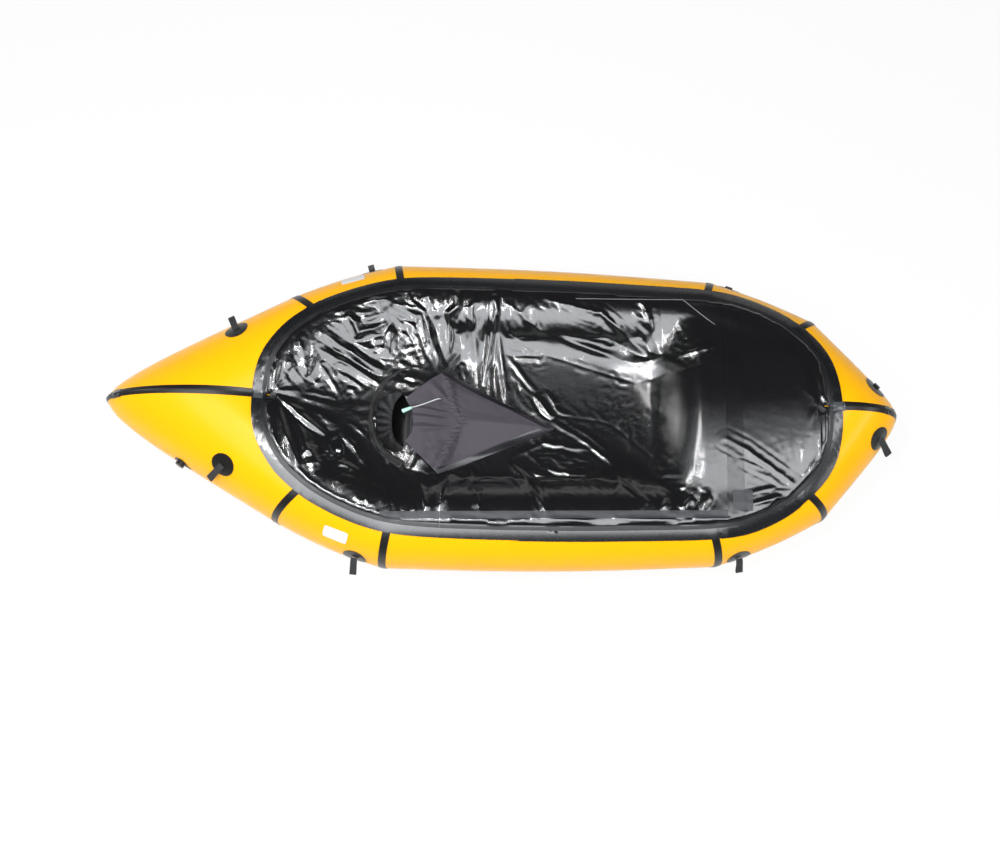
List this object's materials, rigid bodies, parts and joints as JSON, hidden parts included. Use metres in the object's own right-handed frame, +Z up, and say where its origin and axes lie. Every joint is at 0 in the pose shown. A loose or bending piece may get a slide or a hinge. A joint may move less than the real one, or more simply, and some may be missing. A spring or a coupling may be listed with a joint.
{
  "type": "packraft",
  "caption": "Inflatable packraft: mitred air tubes round a sheet floor, closed by a spray deck with a side-opening flap and a gathered waist tunnel, with webbing tie-downs.",
  "frame": {"origin": "Under the middle of the boat, on the plane that the floor sheet rests on.", "axes": "+X to the bow, +Y to port, +Z up."},
  "size_m": [2.4106, 1.0114, 0.3557],
  "materials": {
    "tube_fabric": "gloss",
    "tape_fabric": "satin",
    "band_fabric": "satin",
    "deck_fabric": "gloss",
    "tunnel_nylon": "matte",
    "cord": "matte",
    "cord_pull": "gloss",
    "seat_fabric": "satin",
    "black_plastic": "satin",
    "floor_fabric": "satin",
    "webbing": "matte",
    "label_patch": "matte"
  },
  "bodies": {
    "hull": {"closure_strip": "deck_fabric", "deck_aft": "deck_fabric", "deck_band": "band_fabric", "deck_bow": "deck_fabric", "deck_cross_strip": "deck_fabric", "drawcord_pull": "cord_pull", "floor_sheet": "floor_fabric", "label_patch_port": "label_patch", "label_patch_starboard": "label_patch", "seam_tape_aft_side_port": "tape_fabric", "seam_tape_aft_side_starboard": "tape_fabric", "seam_tape_bow": "tape_fabric", "seam_tape_bow_quarter_port": "tape_fabric", "seam_tape_bow_quarter_starboard": "tape_fabric", "seam_tape_forward_side_port": "tape_fabric", "seam_tape_forward_side_starboard": "tape_fabric", "seam_tape_stern": "tape_fabric", "seam_tape_stern_quarter_port": "tape_fabric", "seam_tape_stern_quarter_starboard": "tape_fabric", "seat_cushion": "seat_fabric", "seat_valve": "black_plastic", "strip_patch": "band_fabric", "tie_patch_aft_quarter_port": "tape_fabric", "tie_patch_aft_quarter_starboard": "tape_fabric", "tie_patch_bow_port": "tape_fabric", "tie_patch_bow_quarter_port": "tape_fabric", "tie_patch_bow_quarter_starboard": "tape_fabric", "tie_patch_bow_starboard": "tape_fabric", "tie_patch_stern_port": "tape_fabric", "tie_patch_stern_starboard": "tape_fabric", "tube_bow_port": "tube_fabric", "tube_bow_quarter_port": "tube_fabric", "tube_bow_quarter_starboard": "tube_fabric", "tube_bow_starboard": "tube_fabric", "tube_side_port": "tube_fabric", "tube_side_starboard": "tube_fabric", "tube_stern_port": "tube_fabric", "tube_stern_quarter_port": "tube_fabric", "tube_stern_quarter_starboard": "tube_fabric", "tube_stern_starboard": "tube_fabric", "tunnel_seam_tape": "band_fabric", "valve_body": "black_plastic", "valve_flange": "black_plastic", "valve_tether": "black_plastic", "waist_drawcord": "cord", "waist_tunnel_back": "tunnel_nylon", "waist_tunnel_front": "tunnel_nylon"},
    "flap": {"deck_flap": "deck_fabric", "flap_side_hem": "band_fabric"},
    "backrest": {"backrest": "seat_fabric"},
    "valve_cap": {"valve_cap": "black_plastic"},
    "loop_stern_port": {"tie_loop_stern_port": "webbing"},
    "loop_stern_starboard": {"tie_loop_stern_starboard": "webbing"},
    "loop_aft_quarter_port": {"tie_loop_aft_quarter_port": "webbing"},
    "loop_aft_quarter_starboard": {"tie_loop_aft_quarter_starboard": "webbing"},
    "loop_bow_quarter_port": {"tie_loop_bow_quarter_port": "webbing"},
    "loop_bow_quarter_starboard": {"tie_loop_bow_quarter_starboard": "webbing"},
    "loop_bow_port": {"tie_loop_bow_port": "webbing"},
    "loop_bow_starboard": {"tie_loop_bow_starboard": "webbing"}
  },
  "joints": [
    {"name": "deck_flap_peel", "type": "hinge", "parent": "hull", "child": "flap", "pos_m": [0.2002, 0, 0.286], "axis": [0, -1, 0], "range_deg": [0, 115]},
    {"name": "backrest_recline", "type": "hinge", "parent": "hull", "child": "backrest", "pos_m": [-0.3846, 0, 0.0238], "axis": [0, -1, 0], "range_deg": [0, 25]},
    {"name": "valve_cap_turn", "type": "hinge", "parent": "hull", "child": "valve_cap", "pos_m": [-0.95735, -0.19428, 0.2017], "axis": [-0.4988, -0.8434, 0.1998], "range_deg": [0, 180]},
    {"name": "loop_swing_stern_port", "type": "hinge", "parent": "hull", "child": "loop_stern_port", "pos_m": [-0.80529, 0.21194, 0.28737], "axis": [0.8804, 0.4743, 0], "range_deg": [-30, 60], "stiffness_Nm_per_rad": 0.05},
    {"name": "loop_swing_stern_starboard", "type": "hinge", "parent": "hull", "child": "loop_stern_starboard", "pos_m": [-0.80525, -0.21187, 0.28728], "axis": [-0.8804, 0.4743, 0], "range_deg": [-30, 60], "stiffness_Nm_per_rad": 0.05},
    {"name": "loop_swing_aft_quarter_port", "type": "hinge", "parent": "hull", "child": "loop_aft_quarter_port", "pos_m": [-0.41764, 0.45691, 0.17618], "axis": [0.953, 0.3031, 0], "range_deg": [-35, 60], "stiffness_Nm_per_rad": 0.05},
    {"name": "loop_swing_aft_quarter_starboard", "type": "hinge", "parent": "hull", "child": "loop_aft_quarter_starboard", "pos_m": [-0.41763, -0.45688, 0.17618], "axis": [-0.953, 0.3031, 0], "range_deg": [-35, 60], "stiffness_Nm_per_rad": 0.05},
    {"name": "loop_swing_bow_quarter_port", "type": "hinge", "parent": "hull", "child": "loop_bow_quarter_port", "pos_m": [0.72691, 0.42946, 0.17668], "axis": [0.9406, -0.3394, 0], "range_deg": [-35, 60], "stiffness_Nm_per_rad": 0.05},
    {"name": "loop_swing_bow_quarter_starboard", "type": "hinge", "parent": "hull", "child": "loop_bow_quarter_starboard", "pos_m": [0.72692, -0.42948, 0.17669], "axis": [-0.9406, -0.3394, 0], "range_deg": [-35, 60], "stiffness_Nm_per_rad": 0.05},
    {"name": "loop_swing_bow_port", "type": "hinge", "parent": "hull", "child": "loop_bow_port", "pos_m": [1.12855, 0.07895, 0.28536], "axis": [0.6543, -0.7562, 0], "range_deg": [-30, 60], "stiffness_Nm_per_rad": 0.05},
    {"name": "loop_swing_bow_starboard", "type": "hinge", "parent": "hull", "child": "loop_bow_starboard", "pos_m": [1.12847, -0.07888, 0.28528], "axis": [-0.6543, -0.7562, 0], "range_deg": [-30, 60], "stiffness_Nm_per_rad": 0.05}
  ]
}
